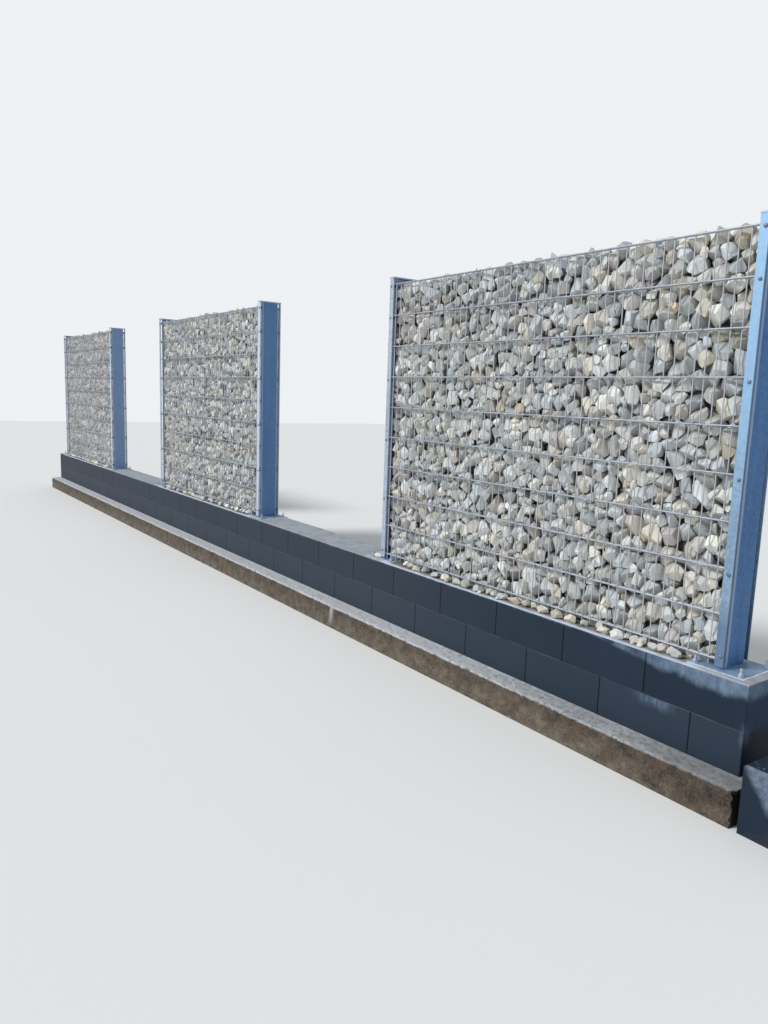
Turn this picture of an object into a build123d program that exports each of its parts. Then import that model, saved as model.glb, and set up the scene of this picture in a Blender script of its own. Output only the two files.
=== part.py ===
from math import ceil
import os

from build123d import *

os.makedirs("parts", exist_ok=True)

# A gabion wall in bays: crushed rock held between two welded wire mats, which are clamped
# to steel channel posts, on a plinth of two block courses and a concrete footing.
# Millimetres. X runs along the wall, Y to its back and Z up, and the origin is the middle
# of the footing's underside. Left and right are as seen from the front.

# Footing and plinth
footing_height = 165
kerb_projection = 130
footing_end_projection = 53
kerb_edge_chamfer = 8
block_length = 490
block_height = 197
plinth_depth = 300
block_joint = 3
block_edge_chamfer = 2.5
mortar_thickness = 5
mortar_edge_inset = 4
end_block_height = 291
end_block_gap = 26
end_block_edge_chamfer = 6

# Bays
bay_names = ("far", "middle", "near")
bay_pitch = 4435
near_end_margin = 154
post_setback = 86

# Welded mats: each rail is a pair of wires, with the uprights between them
rail_wire = 8
rail_count = 10
rail_spacing = 200
lowest_rail_height = 44
upright_wire = 6
upright_count = 51
upright_spacing = 50
solid_upright_step = 10
upright_toe = 33
mat_shift = 12

# Posts, base plates and clamping strips
post_width = 147
post_wall = 5
post_inner_bend = 5
post_above_top_rail = 40
strip_width = 40
strip_thickness = 5
strip_foot_gap = 8
strip_head_gap = 0.3
web_beyond_mat = 15
plate_size = 250
plate_thickness = 8
cap_thickness = 8
cap_overhang = 2

# Spacer bars that tie the two mats together through the stones
spacer_wire = 5
spacer_rails = (2, 4, 6, 8)
spacer_spacing = 500
spacer_hook_drop = 14
fill_clearance = 0.5
fill_above_top_rail = 15

# Places that follow from the sizes above
mat_length = (upright_count - 1) * upright_spacing
web_face = mat_length / 2 + web_beyond_mat
bays_length = (len(bay_names) - 1) * bay_pitch + 2 * web_face
half_blocks = ceil(2 * (bays_length + 2 * near_end_margin) / block_length)
plinth_length = half_blocks * block_length / 2
footing_length = plinth_length + 2 * footing_end_projection
footing_depth = plinth_depth + kerb_projection
footing_front = -footing_depth / 2
plinth_front = footing_front + kerb_projection
plinth_middle = plinth_front + plinth_depth / 2
plinth_top = footing_height + 2 * block_height
bed_top = plinth_top + mortar_thickness
plate_top = bed_top + plate_thickness
wall_middle = plinth_front + post_setback + post_width / 2

mat_thickness = 2 * rail_wire + upright_wire
lowest_rail = bed_top + lowest_rail_height
top_rail = lowest_rail + (rail_count - 1) * rail_spacing
post_top = top_rail + post_above_top_rail
post_depth = strip_width
post_middle = web_face - post_depth / 2
near_bay_middle = plinth_length / 2 - near_end_margin - web_face
bay_middles = [near_bay_middle - bay_pitch * step for step in (2, 1, 0)]


def export(part, name):
    part.label = name
    export_step(part, f"parts/{name}.step")


def course(name, bottom, starts_with_half):
    """One course of blocks in running bond, laid from the right end of the plinth."""
    first = block_length / 2 if starts_with_half else block_length
    edges = [plinth_length / 2]
    while edges[-1] > -plinth_length / 2:
        step = first if len(edges) == 1 else block_length
        edges.append(max(edges[-1] - step, -plinth_length / 2))
    with BuildPart() as blocks:
        for right, left in zip(edges, edges[1:]):
            with BuildSketch(Plane(((right + left) / 2, plinth_middle, bottom))):
                Rectangle(right - left - block_joint, plinth_depth)
            extrude(amount=block_height)
        front_faces = blocks.faces().filter_by(Axis.Y).group_by(Axis.Y)[0]
        chamfer(front_faces.edges(), block_edge_chamfer)
    export(blocks.part, name)


def build_footing():
    """The strip footing, whose front edge shows as a kerb before the blocks."""
    with BuildPart() as footing:
        with BuildSketch():
            Rectangle(footing_length, footing_depth)
        extrude(amount=footing_height)
        front_edge = footing.faces().sort_by(Axis.Z)[-1].edges().sort_by(Axis.Y)[0]
        chamfer(front_edge, kerb_edge_chamfer)
    export(footing.part, "footing")


def build_mortar_bed():
    """The thin bed of mortar spread over the upper course."""
    with BuildPart() as bed:
        with BuildSketch(Plane((0, plinth_middle, plinth_top))):
            Rectangle(plinth_length - 2 * mortar_edge_inset, plinth_depth - 2 * mortar_edge_inset)
        extrude(amount=mortar_thickness)
    export(bed.part, "mortar_bed")


def build_end_block():
    """The low block that carries the kerb's line on past the plinth."""
    block_middle = footing_length / 2 + end_block_gap + block_length / 2
    with BuildPart() as block:
        with BuildSketch(Plane((block_middle, footing_front + plinth_depth / 2, 0))):
            Rectangle(block_length, plinth_depth)
        extrude(amount=end_block_height)
        chamfer(block.faces().sort_by(Axis.Z)[-1].edges(), end_block_edge_chamfer)
    export(block.part, "low_end_block")


def build_mat(name, middle, face):
    """A welded mat: paired rails with uprights between them, fused where they cross.

    face is -1 for the mat at the front of the wall and 1 for the one at its back.
    """
    mat_plane = wall_middle + face * (post_width + mat_thickness) / 2
    upright_height = top_rail + rail_wire / 2 - lowest_rail + upright_toe
    upright_middle = lowest_rail - upright_toe + upright_height / 2
    solid_uprights = (upright_count - 1) // solid_upright_step + 1
    with BuildPart() as mat:
        with Locations((middle - mat_shift, mat_plane, (lowest_rail + top_rail) / 2)):
            with GridLocations(0, rail_wire + upright_wire, 1, 2):
                for rail in range(rail_count):
                    height = (rail - (rail_count - 1) / 2) * rail_spacing
                    with Locations((0, 0, height)):
                        Box(mat_length + upright_wire, rail_wire, rail_wire)
        with Locations((middle - mat_shift, mat_plane, upright_middle)):
            with GridLocations(solid_upright_step * upright_spacing, 0, solid_uprights, 1):
                Box(upright_wire, upright_wire, upright_height)
    export(mat.part, name)


def build_post(name, middle, side):
    """A channel post, closed towards the bay's outside, under its cap plate.

    side is -1 at the left end of a bay and 1 at the right end.
    """
    centre = middle + side * post_middle
    inner_depth = post_depth - post_wall
    cap_depth = post_width + 2 * (mat_thickness + strip_thickness + cap_overhang)
    with BuildPart() as post:
        with BuildSketch(Plane((centre, wall_middle, plate_top))) as channel:
            Rectangle(post_depth, post_width)
            with Locations((-side * post_wall / 2, 0)):
                Rectangle(inner_depth, post_width - 2 * post_wall, mode=Mode.SUBTRACT)
            inside_corners = channel.vertices().group_by(Axis.X, reverse=side > 0)[1]
            fillet(inside_corners, post_inner_bend)
            outside_corners = channel.vertices().group_by(Axis.X, reverse=side > 0)[0]
            fillet(outside_corners, post_inner_bend + post_wall)
        extrude(amount=post_top - plate_top)
        with BuildSketch(Plane((centre, wall_middle, post_top))):
            Rectangle(post_depth + 2 * cap_overhang, cap_depth)
        extrude(amount=cap_thickness)
    export(post.part, name)


def build_base_plate(name, middle, side):
    """The square plate under a post."""
    centre = middle + side * post_middle
    with BuildPart() as plate:
        with BuildSketch(Plane((centre, wall_middle, bed_top))):
            Rectangle(plate_size, plate_size)
        extrude(amount=plate_thickness)
    export(plate.part, name)


def build_strip(name, middle, side, face):
    """A flat bar that clamps the edge of a mat against the post's flange."""
    centre = middle + side * (web_face - strip_width / 2)
    strip_plane = wall_middle + face * (post_width / 2 + mat_thickness + strip_thickness / 2)
    bottom = plate_top + strip_foot_gap
    with BuildPart() as strip:
        with BuildSketch(Plane((centre, strip_plane, bottom))):
            Rectangle(strip_width, strip_thickness)
        extrude(amount=post_top - strip_head_gap - bottom)
    export(strip.part, name)


def spacer_places(middle):
    """Where the spacers lie: on top of every chosen rail, in columns along the bay."""
    columns = round(mat_length / spacer_spacing)
    between_uprights = upright_spacing / 2
    first = middle - mat_shift - (columns - 1) * spacer_spacing / 2 + between_uprights
    places = []
    for rail in spacer_rails:
        height = lowest_rail + (rail - 1) * rail_spacing + (rail_wire + spacer_wire) / 2
        for column in range(columns):
            places.append((first + column * spacer_spacing, wall_middle, height))
    return places


def build_spacers(name, middle):
    """Wire spacers that lie on the rails and hook over the outside of both mats."""
    length = post_width + 2 * mat_thickness
    hook_middle = (length + spacer_wire) / 2
    with BuildPart() as spacers:
        with Locations(*spacer_places(middle)):
            Box(spacer_wire, length, spacer_wire)
            with Locations((0, -hook_middle, 0), (0, hook_middle, 0)):
                with Locations((0, 0, (spacer_wire - spacer_hook_drop) / 2)):
                    Box(spacer_wire, spacer_wire, spacer_hook_drop)
    export(spacers.part, name)


def build_fill(name, middle):
    """The body of stones between the mats, reaching into the channels of the posts."""
    between_flanges = 2 * (web_face - post_depth - fill_clearance)
    between_bends = 2 * (web_face - post_wall - post_inner_bend)
    height = top_rail + fill_above_top_rail - bed_top
    plate_clear = plate_thickness + fill_clearance
    bar_clear = spacer_wire + 2 * fill_clearance
    within_flanges = post_width - 2 * post_wall - 2 * fill_clearance
    with BuildPart() as fill:
        with BuildSketch(Plane((middle, wall_middle, bed_top))):
            Rectangle(between_bends, within_flanges)
            Rectangle(between_flanges, post_width - 2 * fill_clearance)
        extrude(amount=height)
        with Locations((middle - post_middle, wall_middle, bed_top + plate_clear / 2)):
            Box(plate_size + 2 * fill_clearance, post_width, plate_clear, mode=Mode.SUBTRACT)
        with Locations((middle + post_middle, wall_middle, bed_top + plate_clear / 2)):
            Box(plate_size + 2 * fill_clearance, post_width, plate_clear, mode=Mode.SUBTRACT)
        with Locations(*spacer_places(middle)):
            Box(bar_clear, post_width, bar_clear, mode=Mode.SUBTRACT)
    export(fill.part, name)


build_footing()
course("lower_course", footing_height, starts_with_half=True)
course("upper_course", footing_height + block_height, starts_with_half=False)
build_mortar_bed()
build_end_block()

for bay, middle in zip(bay_names, bay_middles):
    build_mat(f"{bay}_front_mat", middle, -1)
    build_mat(f"{bay}_back_mat", middle, 1)
    build_spacers(f"{bay}_spacers", middle)
    build_fill(f"{bay}_stone_fill", middle)
    for end, side in (("left", -1), ("right", 1)):
        build_post(f"{bay}_{end}_post", middle, side)
        build_base_plate(f"{bay}_{end}_base_plate", middle, side)
        build_strip(f"{bay}_{end}_front_strip", middle, side, -1)
        build_strip(f"{bay}_{end}_back_strip", middle, side, 1)
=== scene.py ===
import bpy
import math
import numpy as np
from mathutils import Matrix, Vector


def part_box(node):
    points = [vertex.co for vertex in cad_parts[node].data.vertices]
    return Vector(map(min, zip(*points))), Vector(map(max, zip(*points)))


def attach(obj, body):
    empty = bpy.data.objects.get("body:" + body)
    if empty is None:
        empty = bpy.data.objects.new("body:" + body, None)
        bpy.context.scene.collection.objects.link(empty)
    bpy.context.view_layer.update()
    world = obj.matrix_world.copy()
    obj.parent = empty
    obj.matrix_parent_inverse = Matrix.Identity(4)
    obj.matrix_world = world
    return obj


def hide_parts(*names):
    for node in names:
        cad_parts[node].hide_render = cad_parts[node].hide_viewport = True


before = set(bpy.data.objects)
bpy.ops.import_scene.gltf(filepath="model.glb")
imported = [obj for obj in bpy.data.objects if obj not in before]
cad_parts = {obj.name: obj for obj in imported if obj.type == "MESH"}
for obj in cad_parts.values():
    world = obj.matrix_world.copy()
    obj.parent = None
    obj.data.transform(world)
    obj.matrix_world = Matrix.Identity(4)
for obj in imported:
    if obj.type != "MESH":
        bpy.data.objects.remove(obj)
scene = bpy.context.scene
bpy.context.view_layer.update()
mm = 0.001
bays = ("near", "middle", "far")
ends = ("left", "right")
wallFaces = (("front", -1), ("back", 1))    # each face of the wall and the way it looks along Y
mat = {"uprights": 51, "rails": 10, "rail": 8 * mm, "upright": 6 * mm, "toe": 33 * mm, "sides": 8,
       "press": 0.4 * mm}
wallMiddle = float(sum(c.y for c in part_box("near_stone_fill")) / 2)
print("frame loaded")


def boxOf(node):
    return (np.array(corner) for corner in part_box(node))


def railLevels(matLow, matHigh):
    return np.linspace(matLow[2] + mat["toe"], matHigh[2] - mat["rail"] / 2, mat["rails"])


def uprightPlaces(matLow, matHigh):
    return np.linspace(matLow[0] + mat["upright"] / 2, matHigh[0] - mat["upright"] / 2, mat["uprights"])


# Mesh arrays

def newObject(name, data):
    made = bpy.data.objects.new(name, data)
    scene.collection.objects.link(made)
    return made


def addPiece(name, points, faces, material, replaces=(), smoothAngle=None, values=None):
    # faces is a list of whole arrays, one for each number of corners a face has
    mesh = bpy.data.meshes.new(name)
    corners = np.concatenate([f.ravel() for f in faces]).astype(np.int32)
    sizes = np.concatenate([np.full(len(f), f.shape[1]) for f in faces])
    mesh.vertices.add(len(points))
    mesh.vertices.foreach_set("co", np.asarray(points, np.float32).ravel())
    mesh.loops.add(len(corners))
    mesh.loops.foreach_set("vertex_index", corners)
    mesh.polygons.add(len(sizes))
    mesh.polygons.foreach_set("loop_start", np.concatenate([[0], np.cumsum(sizes)[:-1]]).astype(np.int32))
    mesh.update(calc_edges=True)
    mesh.polygons.foreach_set("use_smooth", np.full(len(sizes), smoothAngle is not None))
    if smoothAngle is not None:
        mesh.set_sharp_from_angle(angle=math.radians(smoothAngle))
    for key, array in (values or {}).items():
        mesh.attributes.new(key, "FLOAT", "POINT").data.foreach_set("value", np.asarray(array, np.float32))
    mesh.materials.append(material)
    piece = newObject(name, mesh)
    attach(piece, "root")
    if replaces:
        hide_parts(*replaces)


def joined(parts):
    # parts is a list of (points, faces); the result is one such pair
    points, faces, shift = [], {}, 0
    for somePoints, someFaces in parts:
        points.append(somePoints.reshape(-1, 3))
        for f in someFaces:
            faces.setdefault(f.shape[1], []).append(f + shift)
        shift += len(points[-1])
    return np.concatenate(points), [np.concatenate(f) for f in faces.values()]


def ringFaces(copies, rings, sides):
    # quads between neighbouring rings of a tube, and one cap at each of its ends
    copy, ring, side = np.meshgrid(np.arange(copies), np.arange(rings - 1), np.arange(sides), indexing="ij")
    first = copy * rings * sides + ring * sides
    after = (side + 1) % sides
    quads = np.stack([first + side, first + after, first + sides + after, first + sides + side], -1)
    start = np.arange(copies)[:, None] * rings * sides
    caps = [start + np.arange(sides)[::-1], start + (rings - 1) * sides + np.arange(sides)]
    return [quads.reshape(-1, 4), np.concatenate(caps)]


def unit(vectors):
    return vectors / np.linalg.norm(vectors, axis=-1, keepdims=True)


def awayFrom(axis):
    # up, or along the wall where the axis itself points up
    return np.where(np.abs(axis[..., 2:]) < 0.9, [0, 0, 1.0], [1.0, 0, 0])


def frameFor(axis):
    # two directions across an axis, so that across, over and axis are right-handed
    axis = unit(np.asarray(axis, float))
    across = unit(np.cross(awayFrom(axis), axis))
    return across, np.cross(axis, across), axis


def turned(centres, axis, profile, sides, turn=0.0):
    # a profile of (radius, height) pairs spun round an axis at each centre
    across, over, axis = frameFor(axis)
    angle = 2 * math.pi * np.arange(sides) / sides + turn
    circle = np.cos(angle)[:, None] * across + np.sin(angle)[:, None] * over
    radius, height = np.array(profile, float).T
    rings = radius[:, None, None] * circle + height[:, None, None] * axis
    points = np.asarray(centres, float)[:, None, None, :] + rings
    return points.reshape(-1, 3), ringFaces(len(centres), len(radius), sides)


def tubes(paths, radius, sides):
    # round tubes along polylines that bend in one plane, all with the same number of points: at
    # each point a circle across the path, measured from the normal of that plane
    along = unit(np.gradient(paths, axis=1))
    bend = np.cross(along[:, 0], along[:, paths.shape[1] // 2])
    straight = np.linalg.norm(bend, axis=1, keepdims=True) < 1e-6
    normal = unit(np.where(straight, np.cross(awayFrom(along[:, 0]), along[:, 0]), bend))[:, None, :]
    over = np.cross(along, normal)
    angle = 2 * math.pi * np.arange(sides) / sides
    circle = np.cos(angle)[:, None] * normal[:, :, None] + np.sin(angle)[:, None] * over[:, :, None]
    points = paths[:, :, None] + radius * circle
    return points.reshape(-1, 3), ringFaces(paths.shape[0], paths.shape[1], sides)


def ripple(points, rng, length):
    # a smooth random field: a sum of sine waves with random directions and phases
    count = 20
    waves = rng.normal(size=(3, count))
    waves *= 2 * math.pi * rng.uniform(0.6, 1.7, count) / (length * np.linalg.norm(waves, axis=0))
    return np.sin(points @ waves + rng.uniform(0, 2 * math.pi, count)).sum(-1) * math.sqrt(2 / count)


# Materials

class Value:
    # one output of a node, which takes part in sums as a number does
    def __init__(self, finish, socket):
        self.finish = finish
        self.socket = socket

    def __add__(self, other):
        return self.finish.math("ADD", self, other)

    __radd__ = __add__

    def __sub__(self, other):
        return self.finish.math("SUBTRACT", self, other)

    def __rsub__(self, other):
        return self.finish.math("SUBTRACT", other, self)

    def __mul__(self, other):
        return self.finish.math("MULTIPLY", self, other)

    __rmul__ = __mul__

    def __truediv__(self, other):
        return self.finish.math("DIVIDE", self, other)

    def __abs__(self):
        return self.finish.math("ABSOLUTE", self)


class Finish:
    def __init__(self, name):
        self.material = bpy.data.materials.new(name)
        self.material.use_nodes = True
        self.tree = self.material.node_tree
        self.shader = self.tree.nodes["Principled BSDF"]
        self.place = self.node("ShaderNodeTexCoord", output="Object")

    def node(self, kind, settings=None, inputs=None, output=0):
        # any node, from its type, its settings and the values or links of its sockets
        made = self.tree.nodes.new(kind)
        for key, value in (settings or {}).items():
            if key == "stops":
                ramp = made.color_ramp
                while len(ramp.elements) < len(value):
                    ramp.elements.new(0.5)
                for element, (position, colour) in zip(ramp.elements, value):
                    element.position = position
                    element.color = (*colour, 1)
            else:
                setattr(made, key, value)
        for key, value in (inputs or {}).items():
            self.feed(self.find(made.inputs, key), value)
        return Value(self, self.find(made.outputs, output))

    def find(self, sockets, key):
        if isinstance(key, int):
            return sockets[key]
        return next(s for s in sockets if key in (s.identifier, s.name))

    def feed(self, socket, value):
        if isinstance(value, Value):
            self.tree.links.new(value.socket, socket)
        elif socket.type == "RGBA":
            socket.default_value = (*value, 1)[:4]
        else:
            socket.default_value = value

    def math(self, operation, first, second=0.0):
        return self.node("ShaderNodeMath", {"operation": operation}, {0: first, 1: second})

    def most(self, first, second):
        return self.math("MAXIMUM", first, second)

    def step(self, value, low, high):
        # 0 below low, 1 above high and a smooth rise between
        return self.node("ShaderNodeMapRange", {"interpolation_type": "SMOOTHSTEP"},
                         {"Value": value, "From Min": low, "From Max": high})

    def mix(self, factor, first, second, blend="MIX"):
        return self.node("ShaderNodeMix", {"data_type": "RGBA", "blend_type": blend, "clamp_factor": True},
                         {"Factor_Float": factor, "A_Color": first, "B_Color": second}, "Result_Color")

    def noise(self, scale, detail=3.0, roughness=0.55, distortion=0.0, along=None):
        # along scales the noise on each axis: under 1 draws it out
        place = self.place
        if along:
            place = self.node("ShaderNodeMapping", None, {"Vector": place, "Scale": along})
        sockets = {"Vector": place, "Scale": scale, "Detail": detail, "Roughness": roughness,
                   "Distortion": distortion}
        return self.node("ShaderNodeTexNoise", None, sockets, "Fac")

    def patches(self, low, high, *noise, **more):
        # 1 where a noise is above high, 0 where it is below low
        return self.step(self.noise(*noise, **more), low, high)

    def axis(self, letter):
        return self.node("ShaderNodeSeparateXYZ", None, {"Vector": self.place}, letter)

    def axes(self):
        return [self.axis(letter) for letter in "XYZ"]

    def attribute(self, name):
        return self.node("ShaderNodeAttribute", {"attribute_name": name}, None, "Fac")

    def ramp(self, value, stops):
        return self.node("ShaderNodeValToRGB", {"stops": stops}, {"Fac": value}, "Color")

    def paint(self, height=None, strength=0.3, distance=0.002, **sockets):
        for key, value in sockets.items():
            self.feed(self.find(self.shader.inputs, key.replace("_", " ")), value)
        if height is not None:
            bump = self.node("ShaderNodeBump", None,
                             {"Strength": strength, "Distance": distance, "Height": height}, "Normal")
            self.feed(self.shader.inputs["Normal"], bump)
        return self.material


rockLook = {
    "tints": ((0.0, (0.54, 0.60, 0.62)), (0.18, (0.65, 0.69, 0.69)), (0.34, (0.77, 0.77, 0.71)),
              (0.50, (0.62, 0.65, 0.67)), (0.64, (0.76, 0.71, 0.60)), (0.76, (0.63, 0.60, 0.59)),
              (0.88, (0.60, 0.61, 0.51)), (1.0, (0.62, 0.48, 0.33))),
    "vein": (0.56, 0.50, 0.38),
    "earth": (0.66, 0.58, 0.40),
    "paintedShadeInside": 0.74,
}


def rockFinish():
    # each stone has its own tint and tone, and painted shade darkens it the deeper it lies between the mats
    look = rockLook
    finish = Finish("brokenRock")
    tint, tone, depth = (finish.attribute(name) for name in ("tint", "tone", "depth"))
    cloud = finish.noise(14, 4)
    speck = finish.noise(150, 4, 0.75)
    vein = finish.patches(0.56, 0.68, 30, 2, 0.5, distortion=1.6)
    earth = finish.patches(0.52, 0.70, 11, 4, 0.6, distortion=0.5)
    fleck = finish.noise(64, 5, 0.75)
    shade = 0.60 + 0.50 * tone + 0.34 * (cloud - 0.5) + 0.36 * (speck - 0.5) + 0.44 * (fleck - 0.5)
    # painted shade between the mats
    shade *= 1 - look["paintedShadeInside"] * depth
    grey = finish.node("ShaderNodeCombineColor", None, {"Red": shade, "Green": shade, "Blue": shade})
    colour = finish.mix(vein * 0.35, finish.ramp(tint, look["tints"]), look["vein"])
    colour = finish.mix(earth * 0.30, colour, look["earth"])
    colour = finish.mix(1.0, colour, grey, "MULTIPLY")
    height = 0.6 * fleck + 0.4 * speck
    return finish.paint(height, 0.85, 0.006, Base_Color=colour, Roughness=0.88 + 0.1 * (speck - 0.5))


def coreFinish():
    # painted shade: the nearly black colour stands for the shaded stones deep inside the fill
    finish = Finish("paintedShadeCore")
    colour = finish.ramp(finish.noise(20, 4), [(0.3, (0.035, 0.034, 0.03)), (0.8, (0.09, 0.085, 0.075))])
    return finish.paint(finish.noise(60, 4), 0.5, Base_Color=colour, Roughness=0.95)


def steelFinish(name, dark, light, metallic, *parts):
    # each part is a colour and a function that gives how far, from 0 to 1, a place has it
    finish = Finish(name)
    cells = finish.node("ShaderNodeTexVoronoi", None, {"Vector": finish.place, "Scale": 70}, "Color")
    spangle = finish.node("ShaderNodeSeparateColor", None, {"Color": cells}, "Red")
    patch = finish.noise(5, 3, along=(1, 1, 0.35))
    run = finish.noise(22, 4, 0.6, along=(1, 1, 0.06))
    spot = finish.patches(0.60, 0.72, 38, 5, 0.6)
    colour = finish.ramp(0.45 * patch + 0.35 * run + 0.2 * spangle, [(0.30, dark), (0.62, light)])
    colour = finish.mix(spot * 0.25, colour, tuple(min(1, c * 1.35) for c in light))
    for tint, where in parts:
        colour = finish.mix(where(finish), colour, tint)
    return finish.paint(0.7 * run + 0.3 * spangle, 0.08, 0.001, Base_Color=colour, Metallic=metallic,
                        Roughness=0.36 + 0.22 * patch + 0.08 * spangle)


courseLow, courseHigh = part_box("lower_course")
plinth = {
    "end": float(courseHigh.x) + 0.0015,    # with half a joint
    "foot": float(courseLow.z),
    "front": float(courseLow.y),
    "length": 0.490,
    "height": 0.197,
    "tones": ((0.25, (0.0060, 0.0150, 0.0310)), (0.75, (0.0140, 0.0270, 0.0470))),
    "lower": (0.028, 0.043, 0.067),
    "sunlitFurther": (0.060, 0.068, 0.078),
    "shadedEndFace": ((0.003, 0.026, 0.074), (0.002, 0.008, 0.024)),    # upper and lower course
    "worn": (0.12, 0.14, 0.16),
    "smear": (0.185, 0.265, 0.375),
}


def blockBase(finish, key):
    # dark concrete whose tone differs a little from block to block
    cloud = finish.noise(5, 4)
    grain = finish.noise(420, 2, 0.7)
    return finish.ramp(0.3 * key + 0.45 * cloud + 0.25 * grain, plinth["tones"]), grain


def blockPaint(finish, colour, grain, smear):
    return finish.paint(grain, 0.25, 0.0012, Base_Color=colour, Roughness=0.62 + 0.3 * smear,
                        Specular_IOR_Level=0.22)


def blockFinish():
    finish = Finish("slateBlock")
    step, mix, noise, patches = finish.step, finish.mix, finish.noise, finish.patches
    x, y, z = finish.axes()
    fromEnd = plinth["end"] - x
    below = plinth["foot"] + 2 * plinth["height"] - z
    course = finish.math("FLOOR", (z - plinth["foot"]) / plinth["height"])
    number = finish.math("FLOOR", fromEnd / plinth["length"] + 0.5 - 0.5 * course)
    block = finish.node("ShaderNodeCombineXYZ", None, {"X": number, "Y": course})
    key = finish.node("ShaderNodeTexWhiteNoise", {"noise_dimensions": "2D"}, {"Vector": block}, "Value")
    colour, grain = blockBase(finish, key)
    colour = mix(0.5 - 0.5 * course, colour, plinth["lower"])
    # painted sunlight: the blocks far from the end are paler
    colour = mix(0.30 * step(fromEnd, 0.8, 3.2), colour, plinth["sunlitFurther"])
    # painted shade: the end face is a deeper, darker blue, more so on the lower course
    endFaceShade = mix(step(below, 0.17, 0.24), *plinth["shadedEndFace"])
    colour = mix(0.90 * step(fromEnd, 0.0035, 0.0015), colour, endFaceShade)
    # the joint's edge of the lower course is worn pale
    worn = step(below, 0.1965, 0.1975) * step(below, 0.2030, 0.2000) * patches(0.40, 0.60, 7, 3)
    colour = mix(worn * 0.24, colour, plinth["worn"])
    # mortar wiped over the upper edge: a thin line along the wall, a broad band at its right end
    atEnd = step(fromEnd, 0.86, 0.16)
    wave = noise(3.5, 2, along=(1, 0.1, 0.1))
    cloud = noise(10, 6, 0.62, along=(1.3, 1, 0.9))
    reach = 0.009 + 0.078 * atEnd + 0.07 * atEnd * (wave - 0.5)
    band = step(below + 0.070 * (cloud - 0.5) * (0.20 + atEnd), reach, reach - 0.007 - 0.040 * atEnd)
    patch = patches(0.34, 0.66, 30, 5, 0.65, along=(1.4, 1, 0.5))
    blotch = patches(0.47, 0.60, 17, 5, 0.6)
    broken = (1 - step(atEnd, 0.30, 0.75)) * (1 - blotch)
    smear = band * (0.45 + 0.30 * atEnd) * (0.60 + 0.40 * patch) * (1 - 0.8 * broken)
    # thinner bloom under the lower course's upper edge and round the corner, near that end
    bloom = step(below, 0.196, 0.203) * step(below + 0.05 * (cloud - 0.5), 0.262, 0.215)
    bloom = bloom * step(fromEnd + 0.25 * (wave - 0.5), 0.62, 0.45) * step(fromEnd, 0.30, 0.40)
    corner = step(abs(below - 0.23 + 0.04 * cloud), 0.075, 0.02) * step(fromEnd, 0.030, 0.004)
    corner *= step(y, plinth["front"] + 0.080, plinth["front"] + 0.020)
    smear = finish.most(smear, (0.30 + 0.70 * patch) * (0.50 * bloom + 0.28 * corner))
    return blockPaint(finish, mix(smear, colour, plinth["smear"]), grain, smear)


endBlockLook = {"brown": (0.034, 0.034, 0.040), "smear": (0.175, 0.225, 0.30), "crumbs": (0.45, 0.50, 0.56)}


def endBlockFinish():
    # a pale smear that starts at the front's upper left corner and widens to the right, under a
    # dark top with pale crumbs
    look = endBlockLook
    finish = Finish("endBlock")
    step, mix, patches = finish.step, finish.mix, finish.patches
    x, y, z = finish.axes()
    colour, grain = blockBase(finish, 0.2)
    low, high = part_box("low_end_block")
    cloud = finish.noise(16, 5, 0.6)
    patch = patches(0.34, 0.62, 34, 5, 0.65)
    slant = high.z - z + 0.050 * (cloud - 0.5)
    run = finish.math("MINIMUM", 1.46 * (x - low.x), 0.150)
    onFront = step(slant, run + 0.022, run - 0.034) * step(y, low.y + 0.016, low.y + 0.010)
    smear = onFront * (0.50 + 0.50 * patch) * 0.80
    crumbs = patches(0.60, 0.68, 75, 4, 0.7) * step(y, low.y + 0.09, low.y + 0.05)
    crumbs = crumbs * step(y, low.y + 0.018, low.y + 0.028) * step(z, high.z - 0.004, high.z - 0.001)
    colour = mix(patches(0.52, 0.62, 6, 2) * 0.35, colour, look["brown"])
    colour = mix(smear, colour, look["smear"])
    colour = mix(crumbs * 0.7, colour, look["crumbs"])
    return blockPaint(finish, colour, grain, smear)


mortarLook = {
    "tones": ((0.3, (0.22, 0.240, 0.265)), (0.7, (0.36, 0.385, 0.415))),
    "dirt": (0.150, 0.118, 0.078),
    "margin": (0.52, 0.575, 0.66),
    "rim": (0.62, 0.68, 0.76),
}


def beyond(value, low, high):
    # how far a place lies outside the stretch from low to high
    return abs(value - (low + high) / 2) - (high - low) / 2


def mortarFinish():
    # brown dirt lies under the stones and a little way before the mats, with a pale margin beside
    # it, and the mortar's rim round the base plates is nearly white
    look = mortarLook
    finish = Finish("mortar")
    step, mix, noise = finish.step, finish.mix, finish.noise
    grain = noise(260, 3, 0.7)
    colour = finish.ramp(0.7 * noise(9, 5) + 0.3 * grain, look["tones"])
    x, y = finish.axis("X"), finish.axis("Y")
    blot = noise(24, 5, 0.65)
    inBay, rim = 0.0, 0.0
    for bay in bays:
        low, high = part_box(f"{bay}_stone_fill")
        inBay += step(beyond(x, low.x, high.x), -0.02, -0.12)
        for end in ends:
            low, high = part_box(f"{bay}_{end}_base_plate")
            away = finish.most(beyond(x, low.x, high.x), beyond(y, low.y, high.y))
            rim += step(away + 0.008 * (blot - 0.5), 0.010, 0.004)
    fromMiddle = abs(y - wallMiddle)
    dirt = step(fromMiddle + 0.05 * (blot - 0.5), 0.132, 0.112)
    dirt *= 0.45 + 0.5 * step(blot, 0.35, 0.6)
    margin = step(fromMiddle + 0.024 * (blot - 0.5), 0.126, 0.140)
    colour = mix(inBay * dirt, colour, look["dirt"])
    colour = mix(inBay * margin * 0.70, colour, look["margin"])
    colour = mix(step(blot, 0.30, 0.50) * rim * 0.85, colour, look["rim"])
    height = 0.5 * noise(70, 4) + 0.5 * grain
    return finish.paint(height, 0.5, 0.003, Base_Color=colour, Roughness=0.92)


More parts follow.
